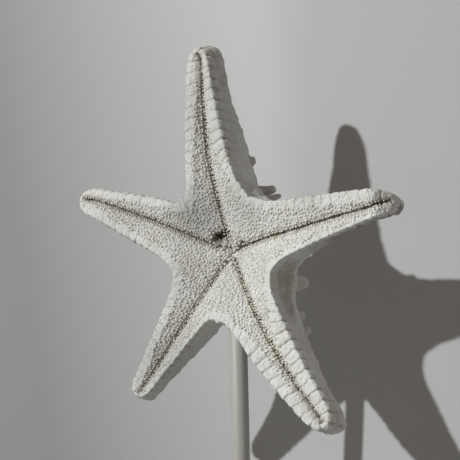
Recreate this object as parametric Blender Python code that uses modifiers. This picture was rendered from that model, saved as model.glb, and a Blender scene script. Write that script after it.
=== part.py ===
"""A dried starfish on a display stand.

The starfish is one solid: a five-armed body, seen from its underside, with a
furrow along each arm, a sunken mouth, block-like plates along every edge and
blunt knobs on its back. A rod stands in a square base and ends in a hole in the
starfish's edge, between its two lower arms.

Metres, +Z up. The origin is the centre of the base's underside, on the rod's
axis. The starfish's underside looks along -Y.
"""

import math
import random

import bmesh
import bpy
import numpy as np
from mathutils import Matrix, Vector

# Stand
BASE_SIDE = 0.090
BASE_HEIGHT = 0.020
BASE_EDGE = 0.0012
ROD_RADIUS = 0.004
ROD_SIDES = 32
ROD_FOOT = 0.006
SOCKET_GAP = 0.0003
SOCKET_DEPTH = 0.011
CUTTER_SPARE = 0.012
SHARP_ANGLE = math.radians(40)

# Place of the starfish's centre, on the plane of its edges
BODY_X = -0.0004
BODY_Y = -0.0125
BODY_Z = 0.160

# Regular form of the starfish, before each arm gets its own lie
ARM_COUNT = 5
SECTOR = 2 * math.pi / ARM_COUNT
HALF_SECTOR = SECTOR / 2
ARM_REACH = 0.090
CROTCH_RADIUS = 0.030
ARM_HALF_WIDTH_ROOT = 0.0138
ARM_HALF_WIDTH_TIP = 0.0055
TIP_CAP = 0.009
TIP_BLUNTNESS = 2.4
EDGE_STEPS = 4001

# Rounded edge between the underside and the back, thinner towards the tip
EDGE_ROUNDING = 0.0016
EDGE_ROUNDING_SHARE = 0.7
EDGE_DEPTH = 0.0044
EDGE_DEPTH_AT_TIP = 0.75
EDGE_DEPTH_STRETCH = 0.3
EDGE_SQUARENESS = 2.8

# Where the ribs of the section start to gather at the centre, and how fast
GATHER_START = 0.5
GATHER_CURVE = 1.6

# Back: height of the ridge behind the plane of the edges, and its roundness
RIDGE_PLACES = (0.0, 0.020, 0.035, 0.047, 0.055, 0.068, 0.080, 0.090)
RIDGE_HEIGHTS = (0.0300, 0.0285, 0.0262, 0.0238, 0.0215, 0.0165, 0.0145, 0.0140)
BACK_SQUARENESS_ARM = 2.6
BACK_SQUARENESS_CROTCH = 2.3

# Underside: valley that falls to the furrow, the furrow itself and the mouth
VALLEY_PLACES = (0.0, 0.010, 0.025, 0.045, 0.070, 0.090)
VALLEY_DEPTHS = (0.0098, 0.0080, 0.0052, 0.0030, 0.0020, 0.0012)
VALLEY_CURVES = (1.1, 1.2, 1.6, 2.2, 2.4, 2.4)
FURROW_HALF_WIDTH = 0.0018
FURROW_SHARE = 0.3
FURROW_DEPTH = 0.0012
FURROW_END = 0.006
MOUTH_RADIUS = 0.0034
MOUTH_DEPTH = 0.0015

# Plates along the edge, counted from the tip to the crotch. They lie in a lower
# row and an upper row, given by the places round the section where each rises
# and falls and how quickly
PLATE_COUNT = 16.5
PLATE_HEIGHT = 0.0006
PLATE_SHRINK = 0.15
PLATE_CURVE = 0.6
LOWER_ROW = (0.62, 2.00, 0.30, 0.30)
UPPER_ROW = (2.00, 2.38, 0.10, 0.15)
UPPER_ROW_SHARE = 0.8

# Lie of each arm, anticlockwise from the top one as seen from the underside:
# name, direction and bend at the tip in degrees, reach as a share of ARM_REACH,
# curl of the tip away from the viewer, how far the back of the tip leans out past
# the underside, thickness as a share, clockwise skew of the back per depth, and
# anticlockwise shift of the furrow
ARMS = (
    ("top", 103.1, -5.9, 1.075, 0.0, 0.005, 1.12, 0.22, -0.0022),
    ("upper_left", 156.7, 0.6, 0.985, 0.0, 0.0, 1.0, 0.0, -0.0014),
    ("lower_left", 233.3, -0.8, 0.875, 0.0, 0.003, 0.93, 0.0, 0.0009),
    ("lower_right", 294.4, 7.9, 1.035, 0.0, 0.004, 1.05, -0.05, 0.0),
    ("upper_right", 372.7, -3.8, 0.925, 0.0085, 0.0, 0.80, 0.0, -0.0020),
)
FIRST_DIRECTION = 90
# Width of each arm as a share, on its clockwise and its anticlockwise side, where
# that starts and over what distance it grows
ARM_WIDTHS = ((1.0, 0.91), (1.14, 1.02), (1.0, 0.94), (1.0, 0.97), (1.0, 1.0))
WIDTH_START = 0.0245
WIDTH_SPAN = 0.020
# Crotch after each arm: its radius as a share of CROTCH_RADIUS, and how far the
# back bulges out behind its edge
CROTCHES = (
    ("top_left", 1.16, 0.001),
    ("left", 0.95, 0.001),
    ("bottom", 1.12, -0.001),
    ("right", 0.955, 0.009),
    ("top_right", 0.92, 0.004),
)
ROD_CROTCH = 2
CROTCH_FADE = 4
BULGE_START = 0.005
BULGE_SPAN = 0.026
THICKENING_PLACE = 0.035
CURL_START = 0.0815
CURL_CURVE = 1.2
LEAN_START = 0.074
LEAN_DEPTH = 0.014
# Where along each arm the shift of its furrow starts, is whole, fades and ends, and
# how far behind the plane of the edges it reaches
SHIFT_PLACES = (
    (0.045, 0.078, 0.086, 0.0905),
    (0.008, 0.040, 0.078, 0.088),
    (0.008, 0.040, 0.078, 0.088),
    (0.008, 0.040, 0.078, 0.088),
    (0.008, 0.040, 0.078, 0.088),
)
SHIFT_DEPTH = 0.006

# Knobs on the back: step along the edge and place round the section, as
# regular_form takes them, radius and height
RIDGE_KNOBS = (
    (0.820, 2.97, 0.0046, 0.0054),
    (0.705, 2.97, 0.0041, 0.0046),
    (0.605, 2.97, 0.0036, 0.0039),
    (0.500, 2.97, 0.0031, 0.0032),
    (0.370, 2.97, 0.0027, 0.0026),
)
FLANK_KNOBS = (
    (0.805, 2.48, 0.0034, 0.0036),
    (0.720, 2.50, 0.0031, 0.0030),
    (0.620, 2.48, 0.0028, 0.0024),
)
# Flanks with knobs of their own, by arm and side
OWN_FLANK_KNOBS = {
    ("top", -1): (
        (0.655, 2.46, 0.0026, 0.0024),
        (0.840, 2.50, 0.0030, 0.0094),
        (0.925, 2.46, 0.0019, 0.0094),
    ),
    ("lower_right", 1): (
        (0.950, 2.45, 0.0042, 0.0080),
        (0.700, 2.50, 0.0026, 0.0026),
        (0.600, 2.48, 0.0024, 0.0022),
    ),
    ("lower_left", 1): (),
    ("upper_right", -1): (),
}
KNOB_VARIATION = (0.8, 1.1)
KNOB_SINK = 0.003
KNOB_SIDES = 8
KNOB_TAPER = 0.5
KNOB_PROBE = 0.01
KNOB_SEED = 7

# Fineness of the starfish's surface: rows along half an arm's edge, and the places
# of the columns round the section: 0 furrow, 1 start of the rounded edge, 2
# outermost line, 3 ridge of the back
ROWS_PER_HALF = 33
COLUMN_PLACES = (0.0, 0.25, 0.6, 0.85, 1.2, 1.6, 2.0, 2.18, 2.42, 2.70, 3.0)
FURROW_COLUMN = 0.25
TINY = 0.000001
WELD = 0.00002

WHITE = (0.78, 0.77, 0.73, 1.0)
WHITE_ROUGHNESS = 0.85
PAINT = (0.74, 0.73, 0.69, 1.0)
PAINT_ROUGHNESS = 0.45


def material(name, colour, roughness):
    """Plain Principled finish for one piece."""
    made = bpy.data.materials.new(name)
    made.use_nodes = True
    shader = made.node_tree.nodes["Principled BSDF"]
    shader.inputs["Base Color"].default_value = colour
    shader.inputs["Roughness"].default_value = roughness
    shader.inputs["Metallic"].default_value = 0.0
    return made


def add_object(name, cage, collection, finish=None):
    """New object from a bmesh, which is freed, linked to one collection."""
    mesh = bpy.data.meshes.new(name)
    cage.to_mesh(mesh)
    cage.free()
    made = bpy.data.objects.new(name, mesh)
    collection.objects.link(made)
    if finish:
        mesh.materials.append(finish)
    return made


def edge_curve():
    """Edge of half a regular arm, tip to crotch: points, outward normals and the
    share of its length reached at each."""
    turn = np.linspace(0, math.pi / 2, EDGE_STEPS)
    root = CROTCH_RADIUS * math.cos(HALF_SECTOR)
    x = root + (ARM_REACH - root) * np.cos(turn)
    along = (x - root) / (ARM_REACH - root)
    taper = ARM_HALF_WIDTH_ROOT + (ARM_HALF_WIDTH_TIP - ARM_HALF_WIDTH_ROOT) * along
    # The fillet meets the line between two arms at a right angle
    fillet = CROTCH_RADIUS * math.sin(HALF_SECTOR) - ARM_HALF_WIDTH_ROOT
    slope = (ARM_HALF_WIDTH_ROOT - ARM_HALF_WIDTH_TIP) / (ARM_REACH - root)
    fade = fillet / (1 / math.tan(HALF_SECTOR) - slope)
    width = taper + fillet * np.exp(-(x - root) / fade)
    cap = np.clip((x - (ARM_REACH - TIP_CAP)) / TIP_CAP, 0, 1)
    y = width * (1 - cap**TIP_BLUNTNESS) ** (1 / TIP_BLUNTNESS)
    dx, dy = np.gradient(x), np.gradient(y)
    dx[0], dy[0] = 0, 1
    length = np.hypot(dx, dy)
    share = np.concatenate(([0], np.cumsum(np.hypot(np.diff(x), np.diff(y)))))
    return x, y, dy / length, -dx / length, share / share[-1]


def row_of_plates(ring, row):
    """1 inside a row of plates and 0 outside it."""
    start, end, rise, fall = row
    return np.clip(np.minimum((ring - start) / rise, (end - ring) / fall), 0, 1)


def regular_form(side, step, ring):
    """Point of the regular arm that lies along +X.

    step runs 0 at the tip to 1 at the crotch, ring runs round the section as
    COLUMN_PLACES does, and side is 1 or -1. Gives x, y and height towards the
    viewer."""
    edge_x, edge_y, normal_x, normal_y, share = edge_curve()
    reached = (step - PLATE_SHRINK * step**3) / (1 - PLATE_SHRINK)
    bx, by, nx, ny = (
        np.interp(reached, share, line) for line in (edge_x, edge_y, normal_x, normal_y)
    )
    # Each rib runs from a spine point on the arm's axis out to the edge
    fan = TIP_CAP / 2 * np.clip((bx - (ARM_REACH - TIP_CAP)) / TIP_CAP, 0, 1) ** 2
    gather = np.clip((step - GATHER_START) / (1 - GATHER_START), 0, 1) ** GATHER_CURVE
    spine = (bx - fan) * (1 - gather)
    rib = np.hypot(bx - spine, by)
    rounding = np.minimum(EDGE_ROUNDING, EDGE_ROUNDING_SHARE * rib)
    flat = rib - rounding
    thin = 1 - EDGE_DEPTH_AT_TIP
    depth = EDGE_DEPTH * (1 - thin + thin * np.clip(step / EDGE_DEPTH_STRETCH, 0, 1))
    ridge = np.interp(spine, RIDGE_PLACES, RIDGE_HEIGHTS)
    valley = np.interp(spine, VALLEY_PLACES, VALLEY_DEPTHS)
    curve = np.interp(spine, VALLEY_PLACES, VALLEY_CURVES)

    # Underside, from the furrow to the start of the rounded edge
    span = FURROW_HALF_WIDTH * rib / np.maximum(by, TINY)
    span = np.minimum(span, FURROW_SHARE * flat)
    oral = np.clip(ring, 0, 1)
    beyond = (oral - FURROW_COLUMN) / (1 - FURROW_COLUMN)
    inner = span * oral / FURROW_COLUMN
    across = np.where(oral < FURROW_COLUMN, inner, span + (flat - span) * beyond)
    height = -valley * np.maximum(1 - across / flat, 0) ** curve

    # Rounded edge
    edge = (ring > 1) & (ring <= 2)
    sweep = np.clip(ring - 1, 0, 1) * math.pi / 2
    power = 2 / EDGE_SQUARENESS
    across = np.where(edge, flat + rounding * np.sin(sweep) ** power, across)
    height = np.where(edge, -depth * (1 - np.cos(sweep) ** power), height)

    # Back, from the outermost line to the ridge
    back = ring > 2
    climb = np.clip(ring - 2, 0, 1) * math.pi / 2
    power = 2 / (BACK_SQUARENESS_ARM + (BACK_SQUARENESS_CROTCH - BACK_SQUARENESS_ARM) * gather)
    across = np.where(back, rib * np.clip(np.cos(climb), 0, 1) ** power, across)
    height = np.where(back, -depth - (ridge - depth) * np.sin(climb) ** power, height)

    share = across / rib
    x = spine + (bx - spine) * share
    y = by * share
    off_axis = np.clip(y / FURROW_HALF_WIDTH, 0, 1)
    furrow = FURROW_DEPTH * (1 - off_axis**2) * np.clip((ARM_REACH - x) / FURROW_END, 0, 1)
    mouth = MOUTH_DEPTH * np.exp(-((x**2 + y**2) / MOUTH_RADIUS**2))
    height = np.where(ring <= 1, height - furrow - mouth, height)

    # Plates swell between seams that lie half-way between whole counts
    plates = row_of_plates(ring, LOWER_ROW) + UPPER_ROW_SHARE * row_of_plates(ring, UPPER_ROW)
    swell = PLATE_HEIGHT * plates * np.abs(np.cos(math.pi * PLATE_COUNT * step)) ** PLATE_CURVE
    tilt = np.where(back, -np.sin(climb), np.where(edge, np.cos(sweep), 1.0))
    outward = swell * np.sqrt(1 - tilt**2)
    return x + outward * nx, side * (y + outward * ny), height + swell * tilt


def furrow_shift(arm, x, y, height):
    """How far a shifted furrow takes a point of the underside across its arm: the
    whole shift at the furrow and nothing at the edges."""
    shift = np.array([row[-1] for row in ARMS])[arm]
    root = CROTCH_RADIUS * math.cos(HALF_SECTOR)
    along = (x - root) / (ARM_REACH - root)
    taper = ARM_HALF_WIDTH_ROOT + (ARM_HALF_WIDTH_TIP - ARM_HALF_WIDTH_ROOT) * along
    half = np.maximum(np.minimum(taper, x * math.tan(HALF_SECTOR)), TINY)
    across = np.clip(1 - (y / half) ** 2, 0, 1)
    start, full, fade, end = np.array(SHIFT_PLACES)[arm].T
    grown = np.clip((x - start) / (full - start), 0, 1) * np.clip((end - x) / (end - fade), 0, 1)
    near = np.clip(2 + height / SHIFT_DEPTH, 0, 1)
    return shift * across * grown * near


def lie_of_arm(arm, x, y, height):
    """Turns, bends, lengthens and thickens a point of the regular arm into its own
    lie, and stands it up in the world."""
    arm = np.asarray(arm)
    width = np.array(ARM_WIDTHS)[arm, (y >= 0).astype(int)]
    y = y * (1 + (width - 1) * np.clip((x - WIDTH_START) / WIDTH_SPAN, 0, 1))
    y = y + furrow_shift(arm, x, y, height)
    distance = np.hypot(x, y)
    angle = np.arctan2(y, x)
    outer = distance / ARM_REACH
    # Towards a crotch, each arm's values blend into those of the next arm
    next_arm = np.where(y >= 0, arm + 1, arm - 1) % ARM_COUNT
    gap = np.where(y >= 0, arm, (arm - 1) % ARM_COUNT)
    closeness = np.abs(angle) / HALF_SECTOR
    mix = closeness**CROTCH_FADE / 2
    regular = FIRST_DIRECTION + np.degrees(SECTOR) * np.arange(ARM_COUNT)
    table = np.array([row[1:] for row in ARMS])
    table[:, 0] -= regular
    own, other = table[arm], table[next_arm]
    turn, bend, reach, curl, lean, thickness, _, _ = (own + (other - own) * mix[..., None]).T
    crotch_share, bulge = np.array([row[1:] for row in CROTCHES])[gap].T

    thicken = 1 - (1 - np.clip(distance / THICKENING_PLACE, 0, 1)) ** 2
    height = height * (1 + (thickness - 1) * thicken)
    swell = np.sin(math.pi * np.clip((-height - BULGE_START) / BULGE_SPAN, 0, 1))
    bulge = bulge * swell * (closeness * np.clip(distance / CROTCH_RADIUS, 0, 1)) ** 2
    lean = lean * np.clip((distance - LEAN_START) / (ARM_REACH - LEAN_START), 0, 1) ** 2
    lean = lean * np.clip(-height / LEAN_DEPTH, 0, 1)
    bent = np.maximum(distance - CURL_START, 0) / (ARM_REACH - CURL_START)
    curl = curl * bent**CURL_CURVE
    radius = distance * (1 + (crotch_share - 1) * 2 * mix) * (1 + (reach - 1) * outer)
    radius = radius + bulge + lean
    axis = np.radians(regular[arm] + turn + bend * outer)
    skew = -own[..., -2] * height * np.clip(outer, 0, 1) * (1 - closeness**2) ** 2
    return np.stack(
        (
            BODY_X + radius * np.cos(axis + angle) + skew * np.sin(axis),
            BODY_Y - height + curl,
            BODY_Z + radius * np.sin(axis + angle) - skew * np.cos(axis),
        ),
        axis=-1,
    )


def starfish_body(collection, finish):
    """Closed skin of the starfish, from one grid wrapped round all ten half arms."""
    rows, columns = 2 * ARM_COUNT * ROWS_PER_HALF, len(COLUMN_PLACES) - 1
    cage = bmesh.new()
    bmesh.ops.create_grid(cage, x_segments=rows, y_segments=columns, size=1)
    flat = (np.array([vert.co[:2] for vert in cage.verts]) + 1) / 2
    row = np.rint(flat[:, 0] * rows).astype(int)
    ring = np.interp(flat[:, 1] * columns, np.arange(columns + 1), COLUMN_PLACES)
    # A pair of half arms runs crotch, tip, crotch
    arm = np.minimum(row // (2 * ROWS_PER_HALF), ARM_COUNT - 1)
    past_tip = row - arm * 2 * ROWS_PER_HALF - ROWS_PER_HALF
    side = np.where(past_tip < 0, -1, 1)
    places = lie_of_arm(arm, *regular_form(side, np.abs(past_tip) / ROWS_PER_HALF, ring))
    for vert, place in zip(cage.verts, places):
        vert.co = place
    bmesh.ops.remove_doubles(cage, verts=cage.verts, dist=WELD)
    bmesh.ops.dissolve_degenerate(cage, edges=cage.edges, dist=WELD)
    bmesh.ops.recalc_face_normals(cage, faces=cage.faces)
    made = add_object("starfish", cage, collection, finish)
    made.data.shade_smooth()
    return made


def skin_point(arm, side, step, ring):
    """World place of one point of the starfish's surface."""
    form = regular_form(np.array([side]), np.array([step]), np.array([ring]))
    return lie_of_arm([arm], *form)[0]


def knob_axis(arm, side, step, ring, height):
    """Ends of a knob that stands square on the skin, from inside it to its top."""
    root = skin_point(arm, side, step, ring)
    along = skin_point(arm, side, step - KNOB_PROBE, ring) - root
    around = skin_point(arm, side, step, ring - KNOB_PROBE) - root
    inside = (skin_point(arm, side, step, 0) + skin_point(arm, side, step, 3)) / 2
    out = np.cross(along, around)
    out *= np.sign(np.dot(out, root - inside)) / np.linalg.norm(out)
    return root - out * KNOB_SINK, root + out * height


def stand_between(low, top):
    """Matrix that puts a primitive along +Z between two points."""
    low, top = Vector(low), Vector(top)
    turn = (top - low).to_track_quat("Z", "X").to_matrix().to_4x4()
    return Matrix.Translation((low + top) / 2) @ turn


def knobs(collection):
    """All knobs of the back as one guide object of separate blunt cones."""
    chance = random.Random(KNOB_SEED)
    cage = bmesh.new()
    for arm in range(ARM_COUNT):
        spots = [(1, *knob) for knob in RIDGE_KNOBS]
        for side in (-1, 1):
            own = OWN_FLANK_KNOBS.get((ARMS[arm][0], side), FLANK_KNOBS)
            spots += [(side, *knob) for knob in own]
        for side, step, ring, radius, height in spots:
            height *= chance.uniform(*KNOB_VARIATION)
            low, top = knob_axis(arm, side, step, ring, height)
            bmesh.ops.create_cone(
                cage,
                cap_ends=True,
                segments=KNOB_SIDES,
                radius1=radius,
                radius2=radius * KNOB_TAPER,
                depth=height + KNOB_SINK,
                matrix=stand_between(low, top),
            )
    return add_object("knob_guide", cage, collection)


def upright_cylinder(name, radius, low, high, collection, finish=None):
    """Cylinder on the rod's axis."""
    cage = bmesh.new()
    bmesh.ops.create_cone(
        cage,
        cap_ends=True,
        segments=ROD_SIDES,
        radius1=radius,
        radius2=radius,
        depth=high - low,
        matrix=Matrix.Translation((0, 0, (low + high) / 2)),
    )
    made = add_object(name, cage, collection, finish)
    made.data.shade_smooth()
    made.data.set_sharp_from_angle(angle=SHARP_ANGLE)
    return made


def boolean(target, guide, operation):
    """Live Boolean of one object on another."""
    guide.hide_render = True
    guide.display_type = "WIRE"
    modifier = target.modifiers.new(guide.name, "BOOLEAN")
    modifier.object = guide
    modifier.operation = operation
    modifier.solver = "EXACT"


def base_block(collection, finish):
    """Square block with eased edges."""
    cage = bmesh.new()
    size = Matrix.Diagonal((BASE_SIDE, BASE_SIDE, BASE_HEIGHT, 1))
    lift = Matrix.Translation((0, 0, BASE_HEIGHT / 2))
    bmesh.ops.create_cube(cage, size=1, matrix=lift @ size)
    made = add_object("base", cage, collection, finish)
    bevel = made.modifiers.new("eased edges", "BEVEL")
    bevel.width = BASE_EDGE
    bevel.segments = 2
    return made


def main():
    for old in list(bpy.data.objects):
        bpy.data.objects.remove(old)
    pieces = bpy.data.collections.new("starfish_on_stand")
    cutters = bpy.data.collections.new("cutters")
    for group in (pieces, cutters):
        bpy.context.scene.collection.children.link(group)
    white = material("bleached starfish", WHITE, WHITE_ROUGHNESS)
    paint = material("satin paint", PAINT, PAINT_ROUGHNESS)

    crotch = BODY_Z - CROTCH_RADIUS * CROTCHES[ROD_CROTCH][1]
    rod_top = crotch + SOCKET_DEPTH
    hole = ROD_RADIUS + SOCKET_GAP
    starfish = starfish_body(pieces, white)
    boolean(starfish, knobs(cutters), "UNION")
    hole_top = rod_top + SOCKET_GAP
    socket = upright_cylinder("socket_cutter", hole, crotch - CUTTER_SPARE, hole_top, cutters)
    boolean(starfish, socket, "DIFFERENCE")

    upright_cylinder("rod", ROD_RADIUS, ROD_FOOT, rod_top, pieces, paint)
    base = base_block(pieces, paint)
    well_floor = ROD_FOOT - SOCKET_GAP
    well_top = BASE_HEIGHT + CUTTER_SPARE
    well = upright_cylinder("well_cutter", hole, well_floor, well_top, cutters)
    boolean(base, well, "DIFFERENCE")


main()
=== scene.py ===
"""Looks of the dried starfish on its stand.

A fine skin takes the place of the starfish's plain solid. Granules, furrow spines,
mouth spines and knobs are pieces of their own on it. The rod gets a finer copy, and
the rod and the base get satin paint. A pale floor and wall, one soft key light and the
photograph's camera stand round them.
"""

import math
import random
from types import SimpleNamespace

import bmesh
import bpy
import numpy as np
from mathutils import Matrix, Quaternion, Vector, noise
from mathutils.bvhtree import BVHTree

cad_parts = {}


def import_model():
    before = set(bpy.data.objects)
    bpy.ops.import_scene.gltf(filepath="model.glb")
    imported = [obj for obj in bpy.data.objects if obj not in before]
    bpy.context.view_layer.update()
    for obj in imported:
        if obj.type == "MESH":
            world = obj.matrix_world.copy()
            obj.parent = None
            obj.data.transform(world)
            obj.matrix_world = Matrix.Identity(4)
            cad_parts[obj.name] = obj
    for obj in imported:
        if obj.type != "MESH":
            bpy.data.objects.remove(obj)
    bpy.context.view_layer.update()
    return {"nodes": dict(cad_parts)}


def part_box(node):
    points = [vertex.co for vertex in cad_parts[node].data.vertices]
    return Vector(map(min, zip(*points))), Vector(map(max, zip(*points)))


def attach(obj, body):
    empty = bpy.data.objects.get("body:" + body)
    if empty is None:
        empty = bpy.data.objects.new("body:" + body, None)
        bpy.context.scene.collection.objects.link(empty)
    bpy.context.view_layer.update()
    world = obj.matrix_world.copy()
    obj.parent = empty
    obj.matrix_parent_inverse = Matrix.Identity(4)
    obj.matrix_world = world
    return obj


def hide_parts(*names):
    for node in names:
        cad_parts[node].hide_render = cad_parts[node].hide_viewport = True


# Place of the starfish's centre, on the plane of its edges
BODY_X = -0.0004
BODY_Y = -0.0125
BODY_Z = 0.160

# Regular form of the starfish, before each arm gets its own lie
ARM_COUNT = 5
SECTOR = 2 * math.pi / ARM_COUNT
HALF_SECTOR = SECTOR / 2
ARM_REACH = 0.0898
CROTCH_RADIUS = 0.030
CROTCH_X = CROTCH_RADIUS * math.cos(HALF_SECTOR)
ARM_HALF_WIDTH_ROOT = 0.0138
ARM_HALF_WIDTH_TIP = 0.0055
TIP_CAP = 0.009
TIP_BLUNTNESS = 2.4
EDGE_STEPS = 4001

# Rounded edge between the underside and the back, thinner towards the tip
EDGE_ROUNDING_AT_TIP = 0.0018
EDGE_ROUNDING_GROWN = 0.12
EDGE_ROUNDING_SHARE = 0.7
EDGE_DEPTH = 0.0044
EDGE_DEPTH_AT_TIP = 0.75
EDGE_DEPTH_STRETCH = 0.3
EDGE_SQUARENESS = 2.8
GATHER_START = 0.5
GATHER_CURVE = 1.6

# Back and underside
RIDGE_PLACES = (0.0, 0.020, 0.035, 0.047, 0.055, 0.068, 0.080, 0.090)
RIDGE_HEIGHTS = (0.0300, 0.0285, 0.0262, 0.0238, 0.0215, 0.0165, 0.0145, 0.0140)
BACK_SQUARENESS_ARM = 2.6
BACK_SQUARENESS_CROTCH = 2.3
VALLEY_PLACES = (0.0, 0.010, 0.025, 0.045, 0.070, 0.090)
VALLEY_DEPTHS = (0.0105, 0.0086, 0.0056, 0.0033, 0.0022, 0.0012)
VALLEY_CURVES = (1.1, 1.2, 1.6, 2.2, 2.4, 2.4)
FURROW_HALF_WIDTH = 0.0018
FURROW_SHARE = 0.3
FURROW_DEPTH = 0.0006
FURROW_END = 0.006
FURROW_COLUMN = 0.25
MOUTH_RADIUS = 0.0034
MOUTH_DEPTH = 0.0008
PLATE_COUNT = 16.5
PLATE_SHRINK = 0.15
TINY = 0.000001

# Lie of each arm: name, direction and bend in degrees, reach, curl, lean, thickness,
# skew and shift of the furrow
ARMS = (
    ("top", 103.1, -5.9, 1.075, 0.0, 0.005, 1.12, 0.22, -0.0022),
    ("upper_left", 156.7, 0.6, 0.983, 0.0, 0.0, 1.0, 0.0, -0.0014),
    ("lower_left", 233.3, -0.8, 0.875, 0.0, 0.003, 0.93, 0.0, 0.0009),
    ("lower_right", 294.4, 7.9, 1.035, 0.0, 0.004, 1.05, -0.05, 0.0),
    ("upper_right", 372.7, -3.8, 0.925, 0.0085, 0.0, 0.80, 0.0, -0.0020),
)
FIRST_DIRECTION = 90
# Width of each arm as a share, on its clockwise and its anticlockwise side, where
# that starts and over what distance it grows
ARM_WIDTHS = ((1.0, 0.91), (1.14, 1.02), (1.0, 0.94), (1.0, 0.97), (1.0, 1.0))
WIDTH_START = 0.0245
WIDTH_SPAN = 0.020
# Crotch after each arm: share of CROTCH_RADIUS, bulge of the back and how wide the
# edges beside it are rounded
CROTCHES = (
    (1.16, 0.001, 0.0022),
    (0.95, 0.001, 0.0016),
    (1.12, -0.001, 0.0012),
    (0.955, 0.009, 0.0008),
    (0.92, 0.004, 0.0010),
)
CROTCH_FADE = 4
BULGE_START = 0.005
BULGE_SPAN = 0.026
THICKENING_PLACE = 0.035
CURL_START = 0.0815
CURL_CURVE = 1.2
LEAN_START = 0.074
LEAN_DEPTH = 0.014
# Where along each arm the shift of its furrow starts, is whole, fades and ends, and
# how far behind the plane of the edges it reaches
SHIFT_PLACES = (
    (0.045, 0.078, 0.086, 0.0905),
    (0.008, 0.040, 0.078, 0.088),
    (0.008, 0.040, 0.078, 0.088),
    (0.008, 0.040, 0.078, 0.088),
    (0.008, 0.040, 0.078, 0.088),
)
SHIFT_DEPTH = 0.006

# Rows and columns of the skin: rows gather at the seams between plates, given by
# their places within one plate, and columns at the furrow and the rounded edge
ROW_PLACES = (0.0, 0.20, 0.36, 0.44, 0.5, 0.56, 0.64, 0.80)
ROWS_PER_HALF = 132
FURROW_COLUMNS = 6
UNDERSIDE_COLUMNS = 20
EDGE_COLUMNS = 14
BACK_COLUMNS = 33
WELD = 0.00002

# Edge plates: their relief in metres, how much they differ, and where they fade on the
# way to the crotch. step is 0 at an arm's tip and 1 at its crotch
PLATE_HEIGHT = 0.00072
PLATE_PITCH = 0.0052
PLATE_STEP = 0.0010
PLATES_DRAWN = 20
PLATE_RISES = (0.65, 1.2)
PLATE_SPREADS = (-0.0007, 0.0007)
PLATE_TILTS = (-0.1, 0.5)
PLATES_FADE = (0.58, 0.86)
SKIN_SEED = 11
# Rings where the lower plates end and where the upper ones start and end. ring is 1 at
# the start of the rounded edge, 2 on the outermost line and 3 on the ridge
LOWER_PLATES_END = (1.90, 2.02)
UPPER_PLATES_START = (2.02, 2.09)
UPPER_PLATES_END = (2.30, 2.40)
# The upper plates are lower, and only near the tip
UPPER_PLATES_SHARE = 0.85
UPPER_PLATES_STEPS = (0.06, 0.20)
# Dark line between the lower and the upper plates: its ring and width
PLATE_LINE = (2.02, 0.03)
# How strongly the plates stand out on each arm: clockwise side, anticlockwise side
PLATE_STRENGTH = ((1.1, 1.0), (0.35, 0.45), (0.75, 0.45), (0.85, 1.0), (0.5, 0.5))
CROTCH_STRENGTH = 0.22
# How far the plates reach inwards on the same sides, and at the crotches
PLATE_REACHES = (
    (0.0054, 0.0036), (0.0028, 0.0032), (0.0034, 0.0028), (0.0052, 0.0064), (0.0030, 0.0036),
)
CROTCH_REACH = 0.0040

# Seams between plates wander by a share of a plate, and widen over these rings. Each
# ends in a small pit on the rounded edge, given by its ring and its spread over rings
SEAM_WIDTHS = (0.00032, 0.00070)
SEAM_WIDENING = (0.9, 1.9)
SEAM_WANDER = 0.10
SEAM_WANDER_SIZE = 0.0024
PIT_DEPTH = 0.0010
PIT_WIDTH = 0.0007
PIT_RING = (1.8, 0.3)

# Lumps all over the skin but beside the furrows. Each noise is given by the size of
# its features and by a shift that keeps it unlike the others
LUMP_HEIGHT = 0.00034
LUMP_NOISE = (0.0017, 0.3)
BROAD_LUMP_NOISE = (0.0040, 0.5)
BROAD_LUMP_SHARE = 0.6
LUMPS_OFF_FURROW = (0.0010, 0.0030)

# Flanks and back: lengthwise streaks, a network of shallow grooves further up,
# swellings, and darker grooves
FLANK_RINGS = (2.0, 2.25)
STREAK_STRETCH = (0.010, 0.14)
STREAK_SHIFTS = (7, 3)
STREAK_HEIGHT = 0.00040
STREAKS_END = (2.5, 2.8)
GROOVE_NOISE = (0.0042, 0.7)
GROOVE_DEPTH = 0.0009
GROOVE_LEVEL = 0.25
GROOVES_START = (2.42, 2.55)
GROOVE_WIDTHS = (0.02, 0.16)
GROOVE_DARKENING = 0.4
SWELLING_NOISE = (0.0035, 0.9)
SWELLING_HEIGHT = 0.00045

# Thin ledges along the two flanks at the right crotch: arm, side and first step, and
# over what share of the steps a ledge grows. Painted shade darkens the skin from the edge to the
# ledge
LEDGES = ((3, 1, 0.60), (4, -1, 0.78))
LEDGE_GROWN = 0.12
LEDGE_RING = 2.17
LEDGE_WIDTH = 0.025
LEDGE_HEIGHT = 0.0010
LEDGE_SHADE = 0.42
LEDGE_BAND_START = (2.0, 2.03)
LEDGE_BAND_END = (2.14, LEDGE_RING)
# Flank with a strip of painted shade beside its edge: arm and side, the strip's rings and steps
STRIP_FLANK = (4, -1)
STRIP_SHADE = 0.6
STRIP_START = (1.85, 2.0)
STRIP_END = (2.30, 2.60)
STRIP_FADE = (0.45, 0.85)

# Patches seen from the front: x and z from the centre, radius and most. Painted shade that
# greys the skin in soft patches, hollows beside the mouth in metres, and painted shade round
# the mouth
PAINTED_SHADE_PATCHES = (
    (-0.016, 0.018, 0.017, 0.76),
    (-0.027, -0.008, 0.024, 0.32),
    (-0.034, -0.048, 0.026, 0.56),
    (-0.020, 0.068, 0.036, 0.46),
    (-0.056, 0.020, 0.026, 0.36),
    (0.010, 0.020, 0.015, 0.44),
    (0.046, 0.025, 0.012, 0.36),
)
MOUTH_HOLLOWS = (
    (-0.0078, 0.0062, 0.0016, 0.0032),
    (-0.0056, 0.0073, 0.0021, 0.0046),
    (-0.0032, 0.0088, 0.0018, 0.0042),
    (0.0066, 0.0027, 0.0017, 0.0022),
)
MOUTH_SHADE = ((-0.0014, 0.0032, 0.0046, 1.0),)
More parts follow.
